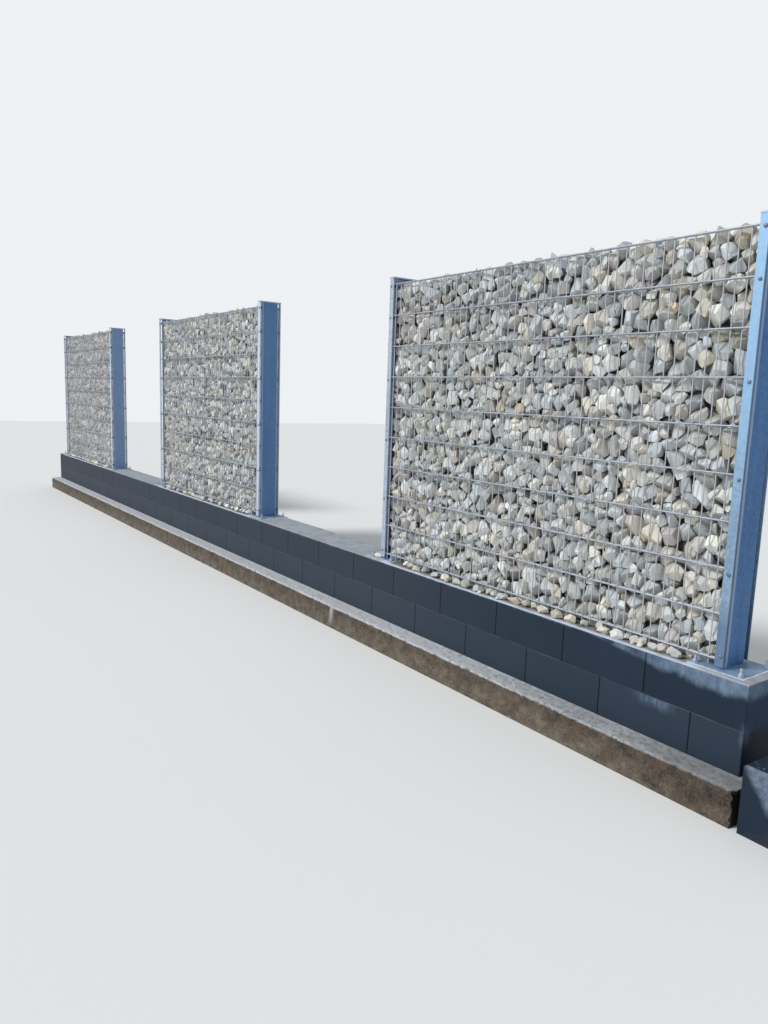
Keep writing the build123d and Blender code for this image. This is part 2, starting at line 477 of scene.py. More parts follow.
kerbLook = {
    "front": ((0.36, (0.012, 0.010, 0.009)), (0.43, (0.036, 0.029, 0.022)), (0.50, (0.070, 0.055, 0.041)),
              (0.58, (0.100, 0.082, 0.060)), (0.68, (0.165, 0.142, 0.110))),
    "blush": (0.125, 0.074, 0.050),
    "moss": (0.060, 0.064, 0.030),
    "top": ((0.28, (0.22, 0.232, 0.245)), (0.72, (0.43, 0.45, 0.465))),
    "paleTop": (0.56, 0.58, 0.61),
    "darkTop": (0.120, 0.118, 0.116),
    "speck": (0.105, 0.100, 0.090),
    "gapShade": (0.006, 0.005, 0.006),
    "lime": (0.40, 0.385, 0.385),
    "limePlace": 2.846,
}


def kerbFinish():
    look = kerbLook
    finish = Finish("oldConcrete")
    step, mix, noise, patches = finish.step, finish.mix, finish.noise, finish.patches
    x, y, z = finish.axes()
    low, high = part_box("footing")
    fromEnd = high.x - x
    fromTop = high.z - z
    down = fromTop / (high.z - low.z)
    grain = noise(190, 4, 0.7)
    cloud = noise(5, 5)
    stain = noise(13, 6, 0.7)
    pits = noise(85, 5, 0.7)
    # the front is brown, nearly black under its upper edge and lighter towards its foot
    mixture = 0.46 * stain + 0.34 * pits + 0.20 * grain
    mixture = 1.35 * (mixture - 0.5) + 0.475 + 0.08 * step(down, 0.10, 0.80)
    mixture = mixture + 0.042 * step(fromEnd, 0.40, 0.80) - 0.030 * step(fromEnd, 0.35, 0.10)
    front = finish.ramp(mixture, look["front"])
    front = mix(patches(0.52, 0.66, 16, 4, 0.6) * 0.50, front, look["blush"])
    front = mix(patches(0.56, 0.70, 9, 4, 0.6, distortion=0.6) * 0.40, front, look["moss"])
    # the top is paler away from the right end and darker beside it, with dark specks
    top = finish.ramp(0.6 * cloud + 0.4 * grain, look["top"])
    top = mix(0.58 * step(fromEnd, 0.7, 1.9), top, look["paleTop"])
    top = mix(0.55 * step(fromEnd, 0.60, 0.20), top, look["darkTop"])
    speck = noise(36, 6, 0.75) + 0.05 * step(x, high.x - 3.5, high.x - 0.5)
    top = mix(step(speck, 0.54, 0.68) * 0.62, top, look["speck"])
    # the pale top laps a little over the front's upper edge
    lap = fromTop + 0.020 * (noise(46, 6, 0.72) - 0.5)
    colour = mix(step(lap, 0.017, 0.006), front, top)
    # painted shade: the broken end stands in a narrow gap and is painted nearly black under the top's ledge
    gapShade = step(x, high.x - 0.060, high.x - 0.038) * step(y, low.y + 0.006, low.y + 0.022)
    colour = mix(gapShade * step(fromTop, 0.016, 0.030), colour, look["gapShade"])
    # a white streak of lime that ran down the front
    beside = abs(x - look["limePlace"] + 0.06 * (cloud - 0.5) - 0.014 * (1 - down))
    streak = step(beside, 0.036, 0.004) * step(down, 1.00, 0.35) * step(y, low.y + 0.07, low.y + 0.01)
    colour = mix(streak * 0.80 * step(pits, 0.20, 0.52), colour, look["lime"])
    height = 0.55 * noise(60, 5, 0.65) + 0.45 * grain
    return finish.paint(height, 0.8, 0.005, Base_Color=colour, Roughness=0.95)


def paintedLightOnPost(finish):
    # painted light on the posts: painted highlights on the cap plates and on the flanges with the bends
    # beside them, painted light in the channels' insides, and painted sunlight on the distant bays
    x, y, z = finish.axes()
    capFoot = float(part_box("near_right_post")[1].z) - 0.008
    cap = finish.step(z, capFoot - 0.0006, capFoot)
    flange = finish.step(abs(y - wallMiddle), 0.0630, 0.0690)
    inside = 0.0
    for bay in bays:
        low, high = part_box(f"{bay}_left_post")[0].x + 0.002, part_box(f"{bay}_right_post")[1].x - 0.002
        half = (high - low) / 2
        inside += finish.step(abs(x - (low + high) / 2), half - 0.002, half - 0.004)
    # painted sunlight on the distant bays
    sunlitFurther = 0.12 * finish.step(x, 2.4, 1.9) + 0.26 * finish.step(x, -2.0, -2.6)
    return finish.most(finish.most(cap, finish.most(0.70 * flange, 0.75 * inside)), sunlitFurther)


def partWay(letter, share, low, high):
    # how far a colour comes in from low to high on one axis
    return lambda finish: share * finish.step(finish.axis(letter), low, high)


rockSkin = rockFinish()
coreSkin = coreFinish()
# painted reflection: the blue in these steel colours is the sky reflected in the zinc, deepest on the
# posts' webs; the steel itself is grey
postSkin = steelFinish("postSteel", (0.028, 0.110, 0.29), (0.075, 0.205, 0.44), 0.45,
                       ((0.43, 0.54, 0.69), paintedLightOnPost))
plateSkin = steelFinish("plateSteel", (0.155, 0.26, 0.39), (0.31, 0.43, 0.58), 0.5)
# painted light on the right strips: a painted sky reflection makes them bright blue above, painted shade
# darkens their feet, and painted sunlight makes them nearly white on the distant bays
stripSkin = steelFinish("stripSteel", (0.155, 0.25, 0.375), (0.31, 0.42, 0.56), 0.5,
                        ((0.32, 0.54, 0.77), partWay("Z", 0.70, 0.85, 1.85)),
                        ((0.10, 0.175, 0.285), partWay("Z", 0.75, 0.90, 0.74)),
                        ((0.76, 0.84, 0.90), partWay("X", 0.62, 2.4, 1.9)))
# painted light: the left strips are the same steel as the right ones, painted as a paler, lit copy
paleStripSkin = steelFinish("paleStripSteel", (0.27, 0.34, 0.42), (0.47, 0.54, 0.62), 0.4)
# painted light: the uprights are the rails' steel, painted as a lighter, greyer copy
wireSkin = steelFinish("wireSteel", (0.25, 0.29, 0.35), (0.42, 0.46, 0.51), 0.5,
                       ((0.56, 0.54, 0.58), lambda finish: 0.75 * finish.attribute("upright")))
# the bolts and the anchors are one zinc painted twice: painted shade makes the bolts a darker copy and
# painted highlights make the anchors a paler one
boltSkin = steelFinish("boltSteel", (0.09, 0.13, 0.20), (0.22, 0.28, 0.37), 0.7)
anchorSkin = steelFinish("anchorSteel", (0.32, 0.40, 0.50), (0.56, 0.62, 0.70), 0.7)
blockSkin = blockFinish()
endBlockSkin = endBlockFinish()
mortarSkin = mortarFinish()
kerbSkin = kerbFinish()


# Carried-over nodes that only need their finish

def dress(node, material):
    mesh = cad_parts[node].data
    mesh.materials.clear()
    mesh.materials.append(material)


for bay in bays:
    for end in ends:
        dress(f"{bay}_{end}_post", postSkin)
        dress(f"{bay}_{end}_base_plate", plateSkin)
        for face, _ in wallFaces:
            dress(f"{bay}_{end}_{face}_strip", stripSkin if end == "right" else paleStripSkin)
dress("lower_course", blockSkin)
dress("upper_course", blockSkin)
dress("low_end_block", endBlockSkin)
print("finishes")


# The stones: each is cut out of the space round its seed by planes shared with its neighbours

rock = {
    "count": 2250,
    # the share of the stones, and the least and most radius
    "sizes": ((0.07, 0.056, 0.070), (0.26, 0.040, 0.054), (0.40, 0.027, 0.040), (0.27, 0.016, 0.026)),
    "tries": 36,
    "side": (0.4, 0.6),             # how near a seed may come to a side, and how far a side pushes it off
    "stretch": (0.1, 0.86),
    "lean": 0.30,
    "share": (0.24, 0.76),          # how much of the way to its neighbour a stone can have
    "joint": 0.0008,
    "leastReach": 0.004,
    "neighbours": 36,
    "cuts": 8,
    "cutShare": (0.70, 0.92),
    "cutLean": 0.22,
    "cutChoice": 6,
    "longest": 1.75,
    "faces": 16,
    "bulge": 0.0065,
    "offRail": (1.1, 0.01),         # how far from a rail a stone starts to bulge, and over what length
    "footRow": 0.030,
    "lidReach": 1.35,
    "lidTilts": ((0.12, 0.45), (0.25, 0.75), (0.45, 1.0)),
    "lidSlack": (0.86, 1.04),
    "lidTurn": (2.4, 0.4),
    "topReach": (-0.012, 0.030),
    "directions": 260,
    "lots": 10,
    "tintSpread": (1.2, 1.9),
    # painted shade between the mats: how fast it rises inward, and where it starts
    "paintedShadeRamp": (1.9, 0.35),
    "litTop": 0.10,
    "smoothAngle": 26,
    "channel": (0.0405, 0.0055),    # how far the flanges reach in, and how thick they are
    "seeds": {"near": 11, "middle": 12, "far": 13},
}
farAway = 9.0


def spread(count):
    # directions spread evenly over a sphere along a spiral
    height = 1 - (2 * np.arange(count) + 1) / count
    turn = math.pi * (1 + math.sqrt(5)) * np.arange(count)
    ring = np.sqrt(1 - height**2)
    return np.stack([ring * np.cos(turn), ring * np.sin(turn), height], 1)


def scattered(rng, low, high, radii):
    # biggest first, each stone takes the roomiest of some random places
    least, push = rock["side"]
    places = np.empty((len(radii), 3))
    for i, radius in enumerate(radii):
        tries = rng.uniform(low + least * radius, high - least * radius, (rock["tries"], 3))
        room = 2 * np.minimum(tries - low, high - tries).min(1) - push * radius
        if i:
            apart = np.linalg.norm(tries[:, None] - places[:i], axis=2) - radii[:i]
            room = np.minimum(room, apart.min(1))
        places[i] = tries[room.argmax()]
    return places


def sharedPlanes(rng, seeds, radii):
    # the plane between two stones lies between them in proportion to how far each one reaches,
    # and it leans with their long axes; both stones get the same plane
    count = len(seeds)
    long = unit(rng.normal(size=(count, 3)))
    stretch = rng.uniform(*rock["stretch"], count)
    sway = unit(rng.normal(size=(count, 3)))
    apart = np.linalg.norm(seeds[:, None] - seeds, axis=2)
    near = np.argsort(apart - 0.5 * radii, axis=1)
    near = near[near != np.arange(count)[:, None]].reshape(count, -1)[:, :rock["neighbours"]]
    gap = np.take_along_axis(apart, near, 1)
    toward = (seeds[near] - seeds[:, None]) / gap[..., None]
    own = (toward * long[:, None]).sum(-1)
    other = (toward * long[near]).sum(-1)
    ownReach = radii[:, None] / np.sqrt(1 - stretch[:, None] * own**2)
    otherReach = radii[near] / np.sqrt(1 - stretch[near] * other**2)
    share = np.clip(ownReach / (ownReach + otherReach), *rock["share"])
    ownBend = (stretch[:, None] * own)[..., None] * long[:, None]
    bend = 0.5 * (ownBend + (stretch[near] * other)[..., None] * long[near])
    normals = unit(toward - bend + rock["lean"] * 0.5 * (sway[:, None] - sway[near]))
    reach = share * gap * (normals * toward).sum(-1) - rock["joint"]
    return normals, np.maximum(reach, rock["leastReach"])


def lidPlanes(rng, axis, reach, tilts):
    # a flat plane at a stone's reach, and leaning ones that meet near it in a blunt point
    across, over, axis = frameFor(axis)
    shape = (len(reach), 1 + len(tilts))
    least, most = np.reshape(tilts, (-1, 2)).T
    leaning = rng.uniform(least, most, (len(reach), len(tilts)))
    tilt = np.concatenate([np.zeros((len(reach), 1)), leaning], 1)
    turn, stray = rock["lidTurn"]
    spin = rng.uniform(0, 2 * math.pi, shape[:1] + (1,)) + turn * np.arange(shape[1])
    spin += rng.normal(0, stray, shape)
    normal = (np.cos(tilt)[..., None] * axis + (np.sin(tilt) * np.cos(spin))[..., None] * across
              + (np.sin(tilt) * np.sin(spin))[..., None] * over)
    slack = np.where(tilt > 0, rng.uniform(*rock["lidSlack"], shape), 1)
    return normal, np.cos(tilt) * slack * reach[:, None]


def rimmed(normals, reach, directions):
    # how far a stone goes in each direction before a plane stops it
    slope, grazing = np.einsum("nkc,dc->nkd", normals, directions), 0.02
    return np.where(slope > grazing, reach[..., None] / np.maximum(slope, grazing), farAway)


def cornerCuts(rng, normals, reach, radii, directions):
    # planes that knock off corners: across the directions where a stone reaches furthest
    far = np.minimum(rimmed(normals, reach, directions).min(1), rock["longest"] * radii[:, None])
    chance = (far / far.max(1, keepdims=True))**rock["cutChoice"]
    pick = (chance[:, None] * rng.uniform(0, 1, (len(reach), rock["cuts"], len(directions)))).argmax(-1)
    cuts = unit(directions[pick] + rng.normal(0, rock["cutLean"], pick.shape + (3,)))
    support = (far[:, None] * np.einsum("nkc,dc->nkd", cuts, directions)).max(-1)
    return cuts, support * rng.uniform(*rock["cutShare"], pick.shape)


def solids(normals, reach):
    # the exact corners and faces of each stone: a corner lies on three planes and inside the rest
    triples = np.array([(i, j, k) for k in range(reach.shape[1]) for j in range(k) for i in range(j)])
    first, second, third = (normals[:, triples[:, k]] for k in range(3))
    firstReach, secondReach, thirdReach = (reach[:, triples[:, k], None] for k in range(3))
    crossed = np.cross(second, third)
    volume = (first * crossed).sum(-1)
    flat = np.abs(volume) < 1e-4
    corner = firstReach * crossed + secondReach * np.cross(third, first)
    corner = (corner + thirdReach * np.cross(first, second)) / np.where(flat, 1, volume)[..., None]
    inside = np.einsum("nkc,ntc->ntk", normals, corner) <= reach[:, None] + 1e-8
    stone, triple = np.nonzero(inside.all(-1) & ~flat)
    corner = corner[stone, triple]
    owner = (stone[:, None] * reach.shape[1] + triples[triple]).ravel()
    index = np.repeat(np.arange(len(stone)), 3)
    # the corners of each face are put in order by their angle round its middle
    faceSize = np.bincount(owner, minlength=normals.shape[0] * reach.shape[1])
    middle = np.stack([np.bincount(owner, corner[index, c], len(faceSize)) for c in range(3)], 1)
    middle /= np.maximum(faceSize, 1)[:, None]
    axis = normals.reshape(-1, 3)
    across = unit(np.cross(awayFrom(axis), axis))
    over = np.cross(axis, across)
    arm = corner[index] - middle[owner]
    angle = np.arctan2((arm * over[owner]).sum(-1), (arm * across[owner]).sum(-1))
    order = np.lexsort((angle, owner))
    index, owner = index[order], owner[order]
    size = faceSize[owner]
    faces = [index[size == n].reshape(-1, n) for n in np.unique(size) if n > 2]
    return corner, stone, faces


def stonePile(low, high, railHeights, seed):
    rng = np.random.default_rng(seed)
    flangeReach, flangeThick = rock["channel"]
    radii = [rng.uniform(least, most, round(share * rock["count"])) for share, least, most in rock["sizes"]]
    radii = np.sort(np.concatenate(radii))[::-1]
    seeds = scattered(rng, low, high, radii)
    x, y, z = seeds.T
    middle, halfSize = (low + high) / 2, (high - low) / 2
    # the mats, or the flanges inside the posts, hold the stones at the front and back, and
    # between the rails and in the lowest row the stones bulge a little way into the mats
    inChannel = np.abs(x - middle[0]) > halfSize[0] - flangeReach
    toRail = np.abs(seeds[:, 2:] - railHeights).min(1)
    offRail, fade = rock["offRail"]
    bulge = rock["bulge"] * np.clip((toRail - offRail * radii) / fade, 0, 1)
    bulge = np.where(z < low[2] + rock["footRow"], 2 * rock["bulge"], bulge)
    half = halfSize[1] + np.where(inChannel, -flangeThick, bulge)
    top = high[2] + rng.uniform(*rock["topReach"], len(seeds)) - z
    limit = rock["lidReach"] * radii
    tilts = rock["lidTilts"]
    sides = [((0, -1, 0), np.minimum(y - middle[1] + half, limit), tilts),
             ((0, 1, 0), np.minimum(middle[1] + half - y, limit), tilts),
             ((0, 0, 1), top, tilts), ((0, 0, -1), z - low[2], ()),
             ((1, 0, 0), high[0] - x, tilts[:1]), ((-1, 0, 0), x - low[0], tilts[:1])]
    planes = [sharedPlanes(rng, seeds, radii)] + [lidPlanes(rng, *side) for side in sides]
    normals, reach = (np.concatenate([p[k] for p in planes], 1) for k in range(2))
    directions = spread(rock["directions"])
    lots, stones = [], []
    for part in np.array_split(np.arange(len(seeds)), rock["lots"]):
        cuts, support = cornerCuts(rng, normals[part], reach[part], radii[part], directions)
        turns = np.concatenate([normals[part], cuts], 1)
        holds = np.concatenate([reach[part], support], 1)
        # each stone keeps the planes that stop it in most directions
        winner = rimmed(turns, holds, directions).argmin(1)
        wins = (winner[..., None] == np.arange(holds.shape[1])).sum(1)
        keep = np.argsort(-wins, axis=1)[:, :rock["faces"]]
        used = np.take_along_axis(wins, keep, 1) > 0
        used = np.where(used, np.take_along_axis(holds, keep, 1), farAway)
        corner, stone, some = solids(np.take_along_axis(turns, keep[..., None], 1), used)
        lots.append((corner + seeds[part][stone], some))
        stones.append(part[stone])
    points, faces = joined(lots)
    stones = np.concatenate(stones)
    points[:, ::2] = np.clip(points[:, ::2], low[::2], (high[0], high[2] + 1))
    atEnd = np.abs(points[:, 0] - middle[0]) > halfSize[0] - flangeReach
    room = halfSize[1] + np.where(atEnd, -flangeThick, bulge[stones])
    points[:, 1] = middle[1] + np.clip(points[:, 1] - middle[1], -room, room)
    return rng, points, stones, faces


# each group of three is for the small stones between the toes, the loose crumbs before them and
# the broad stones that lean on the toes
foot = {
    "share": (0.80, 0.12, 0.62),
    "scale": (1, 0.58, 0.92),
    "width": (1, 1, 1.70),
    "depth": (1, 1, 0.85),
    "height": (1, 1, 1.18),
    "halfWidth": (0.0218, 0.0218, 0.05),
    "sizes": (0.018, 0.0245),
    "deep": (1.0, 1.45),
    "high": (0.75, 1.0),
    "planes": 14,
    "uneven": 0.24,
    "cut": (0.78, 1.0),
    "aside": (0.025, 0.009),        # how far a broad stone stands off the middle of its gap
    "looseAside": 0.012,
    "apart": 0.030,
    "forward": (-0.002, 0.014),
    "before": 0.036,
    "clear": 0.16,
    "bedMargin": 0.004,
    "bedEdge": 0.005,
    "sunk": 0.78,
    "tints": (0.25, 0.95),
    "tones": (0.1, 0.9),
}


def footStones(rng, low, high, matLow, matHigh, face):
    # stones that have slid out under the lowest rail
    gaps = uprightPlaces(matLow, matHigh)
    gaps = (gaps[1:] + gaps[:-1]) / 2
    gaps = gaps[(gaps > low[0] + foot["clear"]) & (gaps < high[0] - foot["clear"])]
    smallShare, looseShare, broadShare = foot["share"]
    aside, sway = foot["aside"]
    broad = gaps[::2][rng.uniform(0, 1, len(gaps[::2])) < broadShare] + aside
    broad += rng.uniform(-sway, sway, len(broad))
    taken = np.abs(gaps[:, None] - broad).min(1) <= foot["apart"]
    between = gaps[(rng.uniform(0, 1, len(gaps)) < smallShare) & ~taken]
    loose = gaps[rng.uniform(0, 1, len(gaps)) < looseShare] + foot["looseAside"]
    kind = np.repeat([0, 1, 2], [len(between), len(loose), len(broad)])
    count = len(kind)
    scale, width, depth, height, halfWidth = (
        np.array(foot[key])[kind] for key in ("scale", "width", "depth", "height", "halfWidth"))
    size = rng.uniform(*foot["sizes"], count) * scale
    planes = foot["planes"]
    normals = unit(spread(planes)[None] + rng.normal(0, foot["uneven"], (count, planes, 3)))
    corner, stone, faces = solids(normals, size[:, None] * rng.uniform(*foot["cut"], (count, planes)))
    shape = np.stack([width, rng.uniform(*foot["deep"], count) * depth,
                      rng.uniform(*foot["high"], count) * height], 1)
    bedLow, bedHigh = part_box("mortar_bed")
    matMiddle = (matLow[1] + matHigh[1]) / 2
    room = float(max(face * (edge.y - matMiddle) for edge in (bedLow, bedHigh))) - foot["bedEdge"]
    out = rng.uniform(*foot["forward"], count) + foot["before"] * (kind == 1)
    out = np.where(kind == 2, mat["upright"] / 2 + size * shape[:, 1] + 0.3 * out, out)
    out = np.minimum(out, room - size * shape[:, 1])
    middle = np.stack([np.concatenate([between, loose, broad]), matMiddle + face * out,
                       low[2] + foot["sunk"] * size * shape[:, 2]], 1)
    points = corner * shape[stone]
    points[:, 0] = np.clip(points[:, 0], -halfWidth[stone], halfWidth[stone])
    points += middle[stone]
    points[:, 1] = np.clip(points[:, 1], bedLow.y + foot["bedMargin"], bedHigh.y - foot["bedMargin"])
    points[:, 2] = np.maximum(points[:, 2], low[2] - 0.001)
    return points, faces, stone


lump = {"place": (3.170, -0.030), "size": (0.030, 0.021, 0.015), "planes": 18, "uneven": 0.2,
        "cut": (0.85, 1.0), "sunk": 0.7, "tint": 0.64, "tone": 0.75}


def crumb(rng):
    # one flat lump left on the near bay's left base plate
    planes = lump["planes"]
    normals = unit(spread(planes)[None] + rng.normal(0, lump["uneven"], (1, planes, 3)))
    corner, stone, faces = solids(normals, rng.uniform(*lump["cut"], (1, planes)))
    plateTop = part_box("near_left_base_plate")[1].z
    points = corner * lump["size"] + [*lump["place"], plateTop + lump["sunk"] * lump["size"][2]]
    points[:, 2] = np.maximum(points[:, 2], plateTop - 0.001)
    return points, faces


core = {"footClear": (0.03, 0, 0.012), "topClear": (0.03, 0, 0.055), "half": 0.014}


def addCore(bay, low, high):
    # a thin dark slab deep inside, so that no light comes through between the stones: painted shade where
    # the inner stones lie in shadow
    low, high = low + core["footClear"], high - core["topClear"]
    ys = (wallMiddle - core["half"], wallMiddle + core["half"])
    box = np.array([(x, y, z) for x in (low[0], high[0]) for y in ys for z in (low[2], high[2])])
    sides = np.array([(0, 1, 3, 2), (4, 6, 7, 5), (0, 4, 5, 1), (2, 3, 7, 6), (0, 2, 6, 4), (1, 5, 7, 3)])
    addPiece(f"{bay}InnerShadeSlab", box, [sides], coreSkin)


for bay in bays:
    low, high = boxOf(f"{bay}_stone_fill")
    levels = railLevels(*boxOf(f"{bay}_front_mat"))
    rng, points, stones, faces = stonePile(low, high, levels, rock["seeds"][bay])
    count = stones.max() + 1
    # painted shade: stones deep between the mats are painted darker, less so within litTop of the top
    inward = 1 - np.abs(points[:, 1] - wallMiddle) / (high[1] - low[1]) * 2
    fromTop = np.clip((high[2] - points[:, 2]) / rock["litTop"], 0, 1)
    rise, start = rock["paintedShadeRamp"]
    values = {"tint": rng.beta(*rock["tintSpread"], count)[stones],
              "tone": rng.uniform(0, 1, count)[stones],
              "depth": np.clip(inward * rise - start, 0, 1) * fromTop}
    addPiece(f"{bay}Stones", points, faces, rockSkin, (f"{bay}_stone_fill",),
             rock["smoothAngle"], values)
    pieces, tints, tones = [], [], []
    for face, sign in wallFaces:
        points, faces, stones = footStones(rng, low, high, *boxOf(f"{bay}_{face}_mat"), sign)
        pieces.append((points, faces))
        tints.append(rng.uniform(*foot["tints"], stones.max() + 1)[stones])
        tones.append(rng.uniform(*foot["tones"], stones.max() + 1)[stones])
    if bay == "near":
        pieces.append(crumb(rng))
        tints.append([lump["tint"]] * len(pieces[-1][0]))
        tones.append([lump["tone"]] * len(pieces[-1][0]))
    points, faces = joined(pieces)
    addPiece(f"{bay}FootStones", points, faces, rockSkin, (), rock["smoothAngle"],
             {"tint": np.concatenate(tints), "tone": np.concatenate(tones)})
    addCore(bay, low, high)
    print(bay, "stones", count)


# The welded mats: pairs of rails with uprights between them

def bars(xs, ys, zs):
    # straight paths of two points, from the first and last coordinates on each axis
    return np.stack([np.stack(np.broadcast_arrays(x, y, z), 1) for x, y, z in zip(xs, ys, zs)], 1)


for bay in bays:
    for face, _ in wallFaces:
        low, high = boxOf(f"{bay}_{face}_mat")
        middle = (low[1] + high[1]) / 2
        off = (mat["rail"] + mat["upright"]) / 2 - mat["press"]
        railY, railZ = (a.ravel() for a in np.meshgrid([middle - off, middle + off], railLevels(low, high)))
        rails = bars((low[0], high[0]), (railY, railY), (railZ, railZ))
        places = uprightPlaces(low, high)
        uprights = bars((places, places), (middle, middle), (low[2], high[2]))
        points, faces = joined([tubes(rails, mat["rail"] / 2, mat["sides"]),
                                tubes(uprights, mat["upright"] / 2, mat["sides"])])
        isUpright = np.arange(len(points)) >= len(rails) * 2 * mat["sides"]
        addPiece(f"{bay}{face.title()}Mat", points, faces, wireSkin,
                 (f"{bay}_{face}_mat",), 50, {"upright": isUpright})
print("mats")


# Spacers: wires that lie on the rails and hook over both mats

spacer = {"rows": (2, 4, 6, 8), "wire": 5 * mm, "drop": 0.014, "bend": 0.005, "sides": 7, "columns": 5}


def hookedPath(halfLength, drop, bend):
    # a straight wire whose two ends turn down round a quarter circle
    angle = np.linspace(0, math.pi / 2, 4)
    corner = np.stack([halfLength - bend + bend * np.sin(angle), bend * (np.cos(angle) - 1)], 1)
    right = np.concatenate([corner, [[halfLength, -drop]]])
    left = right[::-1] * [-1, 1]
    return np.concatenate([left, right])


for bay in bays:
    low, high = boxOf(f"{bay}_spacers")
    thin = spacer["wire"] / 2
    shape = hookedPath((high[1] - low[1]) / 2 - thin, spacer["drop"] - thin, spacer["bend"])
    columns = np.linspace(low[0] + thin, high[0] - thin, spacer["columns"])
    rails = railLevels(*boxOf(f"{bay}_front_mat"))
    levels = rails[np.array(spacer["rows"]) - 1] + mat["rail"] / 2 + thin
    x, z = (a.ravel()[:, None] for a in np.meshgrid(columns, levels))
    paths = np.stack(np.broadcast_arrays(x, wallMiddle + shape[:, 0], z + shape[:, 1]), -1)
    points, faces = tubes(paths, thin, spacer["sides"])
    addPiece(f"{bay}Spacers", points, faces, wireSkin, (f"{bay}_spacers",), 50)
print("spacers")


# Bolts with domed heads through the strips, with a sleeve in the gap behind, and anchors

bolt = {
    "heights": (0.019, 0.378, 0.781, 1.181, 1.586, 1.789),    # above the lowest rail
    "edge": 0.015,
    "head": ((0.0085, 0.0), (0.0085, 0.0012), (0.0078, 0.0032), (0.0058, 0.0048), (0.0030, 0.0055)),
    "sleeve": 0.0065,
    "sides": 14,
}
anchor = {"inset": 0.020, "rod": 0.006, "tip": 0.034, "nut": 0.0105, "nutHeight": 0.010,
          "washer": 0.014, "washerHeight": 0.0025, "edge": 0.001, "sides": (16, 6, 10), "nutTurn": 0.4}


def anchorParts(corners):
    washer, nut, rod, edge = (anchor[key] for key in ("washer", "nut", "rod", "edge"))
    washerTop = anchor["washerHeight"]
    nutTop = washerTop + anchor["nutHeight"]
    profiles = (((washer, 0), (washer, washerTop)),
                ((nut, washerTop), (nut, nutTop - edge), (nut - edge, nutTop)),
                ((rod, nutTop - 2 * edge), (rod, anchor["tip"] - edge), (rod - edge, anchor["tip"])))
    turns = (0, anchor["nutTurn"], 0)
    return [turned(corners, (0, 0, 1), *some) for some in zip(profiles, anchor["sides"], turns)]


for bay in bays:
    parts, anchors = [], []
    matLow, matHigh = boxOf(f"{bay}_front_mat")
    heights = matLow[2] + mat["toe"] + np.array(bolt["heights"])
    sleeve = ((bolt["sleeve"], 0), (bolt["sleeve"], matHigh[1] - matLow[1]))
    for end in ends:
        for face, sign in wallFaces:
            low, high = boxOf(f"{bay}_{end}_{face}_strip")
            inner, outer = (high[1], low[1]) if sign < 0 else (low[1], high[1])
            x = low[0] + bolt["edge"] if end == "left" else high[0] - bolt["edge"]
            heads, sleeves = (np.stack(np.broadcast_arrays(x, y, heights), 1) for y in (outer, inner))
            parts.append(turned(heads, (0, sign, 0), bolt["head"], bolt["sides"]))
            parts.append(turned(sleeves, (0, -sign, 0), sleeve, bolt["sides"]))
        low, high = boxOf(f"{bay}_{end}_base_plate")
        corners = [(x, y, high[2]) for x in (low[0] + anchor["inset"], high[0] - anchor["inset"])
                   for y in (low[1] + anchor["inset"], high[1] - anchor["inset"])]
        anchors += anchorParts(corners)
    for name, some, skin in (("Bolts", parts, boltSkin), ("Anchors", anchors, anchorSkin)):
        points, faces = joined(some)
        addPiece(bay + name, points, faces, skin, (), 40)
print("bolts")


# The footing and the mortar: outlines carried along the wall, roughened by a random field

def loopAlong(corners, low, high, step):
    # points about a step apart round a closed outline in Y and Z, repeated along the wall
    corners = np.array(corners, float)
    after = np.roll(corners, -1, axis=0)
    runs = [a + (b - a) * np.linspace(0, 1, max(2, int(np.linalg.norm(b - a) / step) + 1))[:-1, None]
            for a, b in zip(corners, after)]
    outline = np.concatenate(runs)[::-1]
    xs = np.linspace(low[0], high[0], int((high[0] - low[0]) / step))
    points = np.empty((len(xs), len(outline), 3))
    points[..., 0] = xs[:, None]
    points[..., 1:] = outline
    return points


def addLoop(name, points, material, node):
    addPiece(name, points.reshape(-1, 3), ringFaces(1, *points.shape[:2]), material, (node,), 35)


kerb = {"step": 0.012, "rough": 0.0022, "chip": 0.0034, "chipReach": 0.02, "edge": 0.008, "skin": 0.004,
        "brokenLength": 0.08, "ledge": 0.006, "shownTop": 0.12, "foot": 0.002, "seed": 5}
low, high = boxOf("footing")
rng = np.random.default_rng(kerb["seed"])
edge = kerb["edge"]
points = loopAlong([(low[1], 0), (low[1], high[2] - edge), (low[1] + edge, high[2]), (high[1], high[2]),
                    (high[1], 0)], low, high, kerb["step"])
x, y, z = (points[..., k] for k in range(3))
rough = np.abs(kerb["rough"] * (ripple(points, rng, 0.05) + 0.7 * ripple(points, rng, 0.16)))
corner = np.exp(-(((y - low[1]) / kerb["chipReach"])**2 + ((z - high[2]) / kerb["chipReach"])**2))
chance = np.clip(0.6 + ripple(points, rng, 0.10) + 0.5 * ripple(points, rng, 0.03), 0, 2.5)
chips = kerb["chip"] * corner * chance
front = np.exp(-((y - low[1]) / kerb["skin"])**2)
topside = np.exp(-((z - high[2]) / kerb["skin"])**2) * (y < low[1] + kerb["shownTop"])
y += (rough * front + chips) * (z > kerb["foot"])
z -= rough * topside + chips
# its right end is broken back, most of all along the front
toEnd = np.clip((x - high[0] + kerb["brokenLength"]) / kerb["brokenLength"], 0, 1)
broken = 0.005 + 0.006 * ripple(points, rng, 0.05) + 0.006 * (y < low[1] + 0.02)
x -= toEnd**2 * np.clip(broken, 0, 0.03) * (z < high[2] - kerb["ledge"])
addLoop("footingKerb", points, kerbSkin, "footing")

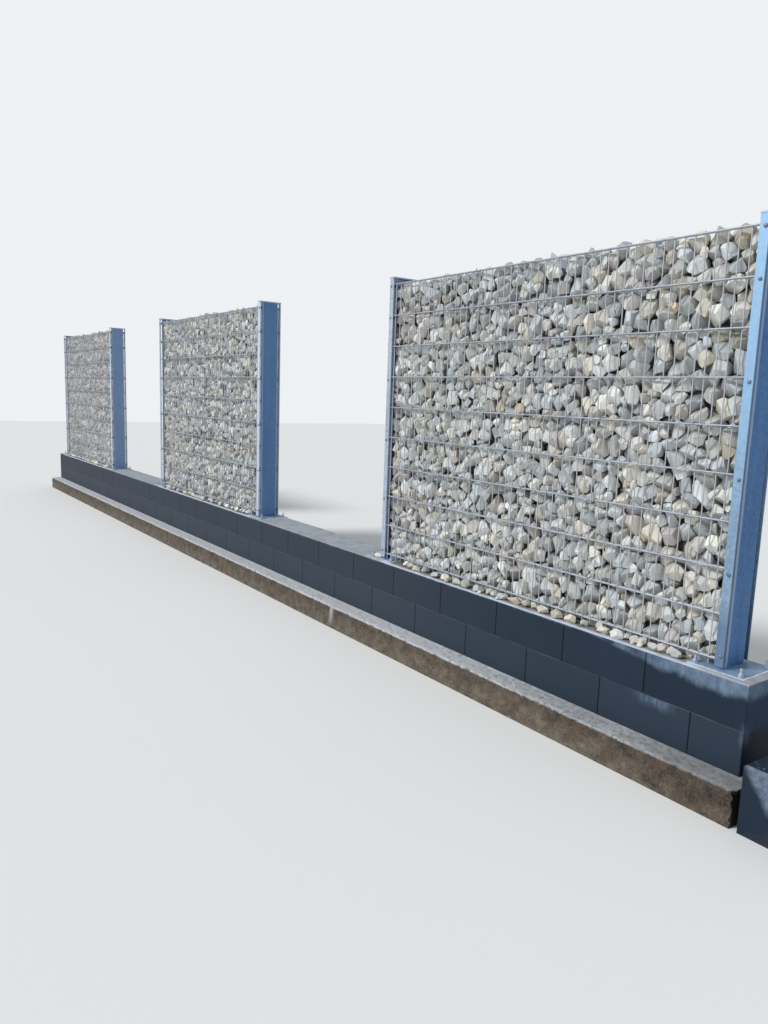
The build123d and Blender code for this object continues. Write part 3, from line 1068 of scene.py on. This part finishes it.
bed = {"step": 0.011, "rough": 0.0012, "limits": (-0.002, 0.001), "edge": 0.004, "below": 0.001,
       "heap": 0.0068, "heapWidth": 0.020, "heapSway": 0.35, "seed": 8}
low, high = boxOf("mortar_bed")
rng = np.random.default_rng(bed["seed"])
top = high[2] - bed["below"]
points = loopAlong([(low[1], low[2]), (low[1] + bed["edge"], top), (high[1] - bed["edge"], top),
                    (high[1], low[2])], low, high, bed["step"])
x, y, z = (points[..., k] for k in range(3))
topside = z > low[2] + 0.001
rough = bed["rough"] * (ripple(points, rng, 0.06) + ripple(points, rng, 0.2))
z += topside * np.clip(rough, *bed["limits"])
wave = ripple(points, rng, 0.07)
# the mortar is heaped round the base plates
for bay in bays:
    for end in ends:
        plateLow, plateHigh = (corner[:2] for corner in boxOf(f"{bay}_{end}_base_plate"))
        outside = np.maximum(np.maximum(plateLow - points[..., :2], points[..., :2] - plateHigh), 0)
        away = np.linalg.norm(outside, axis=-1) / (bed["heapWidth"] * (1 + bed["heapSway"] * wave))
        z += topside * bed["heap"] * np.exp(-away**2)
addLoop("mortarBed", points, mortarSkin, "mortar_bed")
print("footing and mortar")


# The stage

floor = {"size": 60, "colour": (0.74, 0.74, 0.73)}
half = floor["size"] / 2
mesh = bpy.data.meshes.new("floor")
mesh.from_pydata([(-half, -half, 0), (half, -half, 0), (half, half, 0), (-half, half, 0)], [],
                 [(0, 1, 2, 3)])
mesh.materials.append(Finish("paleFloor").paint(Base_Color=floor["colour"], Roughness=0.9))
newObject("floor", mesh)

light = {"sky": (0.90, 0.95, 1.0), "skyStrength": 0.54, "back": (0.86, 0.88, 0.90),
         "sun": 2.6, "sunSoftness": math.radians(14), "sunTurn": (math.radians(50), 0, math.radians(-24))}
world = bpy.data.worlds.new("studio")
scene.world = world
world.use_nodes = True
tree = world.node_tree
skyNode = tree.nodes["Background"]
skyNode.inputs["Color"].default_value = (*light["sky"], 1)
skyNode.inputs["Strength"].default_value = light["skyStrength"]
backNode = tree.nodes.new("ShaderNodeBackground")
backNode.inputs["Color"].default_value = (*light["back"], 1)
pathNode = tree.nodes.new("ShaderNodeLightPath")
mixNode = tree.nodes.new("ShaderNodeMixShader")
link = tree.links.new
link(pathNode.outputs["Is Camera Ray"], mixNode.inputs[0])
link(skyNode.outputs[0], mixNode.inputs[1])
link(backNode.outputs[0], mixNode.inputs[2])
link(mixNode.outputs[0], tree.nodes["World Output"].inputs["Surface"])
sun = bpy.data.lights.new("softSun", "SUN")
sun.energy = light["sun"]
sun.angle = light["sunSoftness"]
newObject("softSun", sun).rotation_euler = light["sunTurn"]
scene.view_settings.view_transform = "Standard"

eye = {"place": (7.3836, -3.0419, 1.6835), "turn": (81.2642, -1.9517, 54.4219), "lens": 26.608}
camera = bpy.data.cameras.new("eye")
camera.lens = eye["lens"]
camera.sensor_width = 36
camera.clip_end = 200
viewer = newObject("eye", camera)
viewer.location = eye["place"]
viewer.rotation_euler = [math.radians(a) for a in eye["turn"]]
scene.camera = viewer
print("stage")
